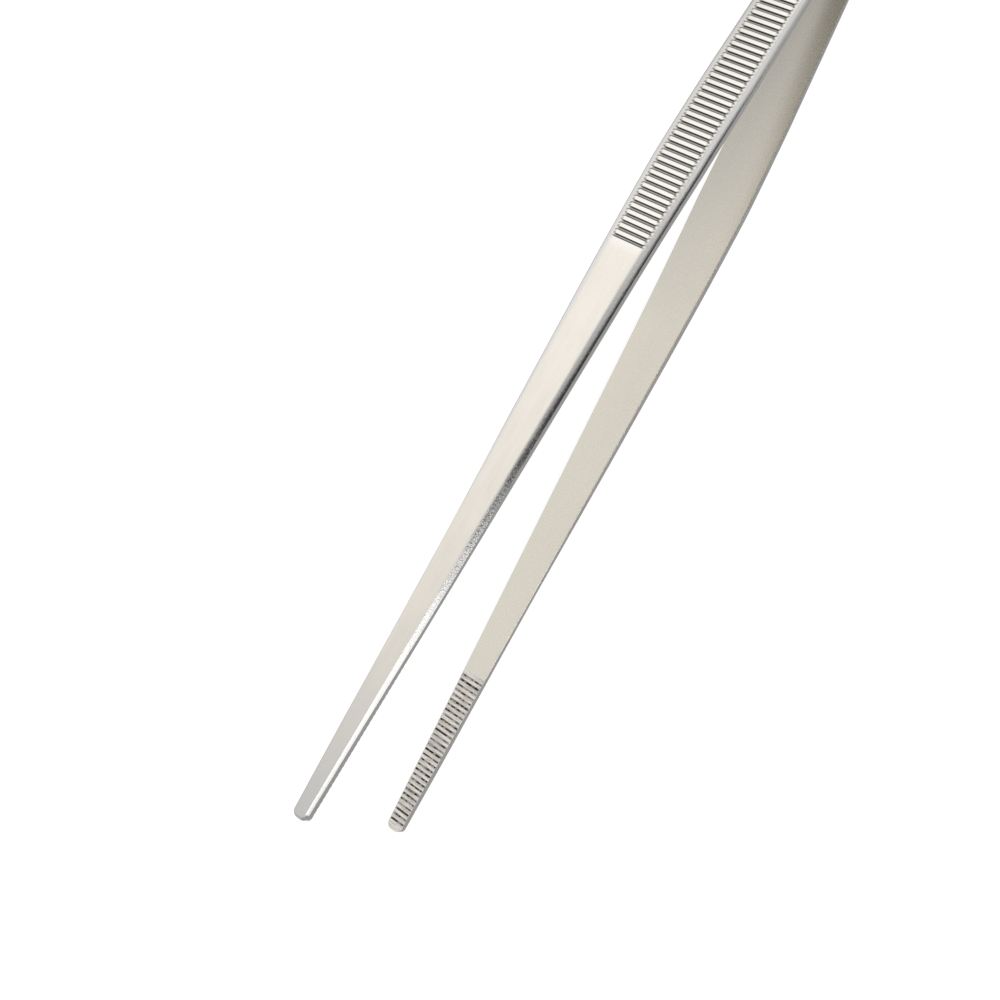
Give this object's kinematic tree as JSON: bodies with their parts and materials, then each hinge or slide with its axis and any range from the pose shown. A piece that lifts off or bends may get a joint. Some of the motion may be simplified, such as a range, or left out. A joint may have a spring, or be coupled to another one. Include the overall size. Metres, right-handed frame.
{
  "type": "aquascaping tweezers",
  "caption": "Long straight spring tweezers with ribbed grips and fine serrations inside narrow rounded tips, for planting and picking in aquariums.",
  "frame": {"origin": "centre of the bounding box on the plane that the tweezers lie on, halfway between the tips and the heel", "axes": "+X from the heel to the tips, +Y from the right arm to the left arm, +Z across the width of the arms"},
  "size_m": [0.27, 0.0384, 0.012],
  "materials": {
    "arm_steel": "satin stainless steel with polished shoulders",
    "weld_metal": "dull resistance weld"
  },
  "bodies": {
    "heel": {"left_heel_leaf": "arm_steel", "right_heel_leaf": "arm_steel", "rear_spot_weld": "weld_metal", "front_spot_weld": "weld_metal"},
    "right_arm": {"right_arm": "arm_steel"},
    "left_arm": {"left_arm": "arm_steel"}
  },
  "joints": [
    {"name": "right_arm_squeeze", "type": "hinge", "parent": "heel", "child": "right_arm", "pos_m": [-0.08457, -0.00401, 0.006], "axis": [0, 0, 1], "range_deg": [0, 4.39], "stiffness_Nm_per_rad": 10},
    {"name": "left_arm_squeeze", "type": "hinge", "parent": "heel", "child": "left_arm", "pos_m": [-0.08457, 0.00401, 0.006], "axis": [0, 0, -1], "range_deg": [0, 4.39], "stiffness_Nm_per_rad": 10}
  ],
  "couplings": [
    {"joint": "left_arm_squeeze", "follows": "right_arm_squeeze", "ratio": 1}
  ]
}
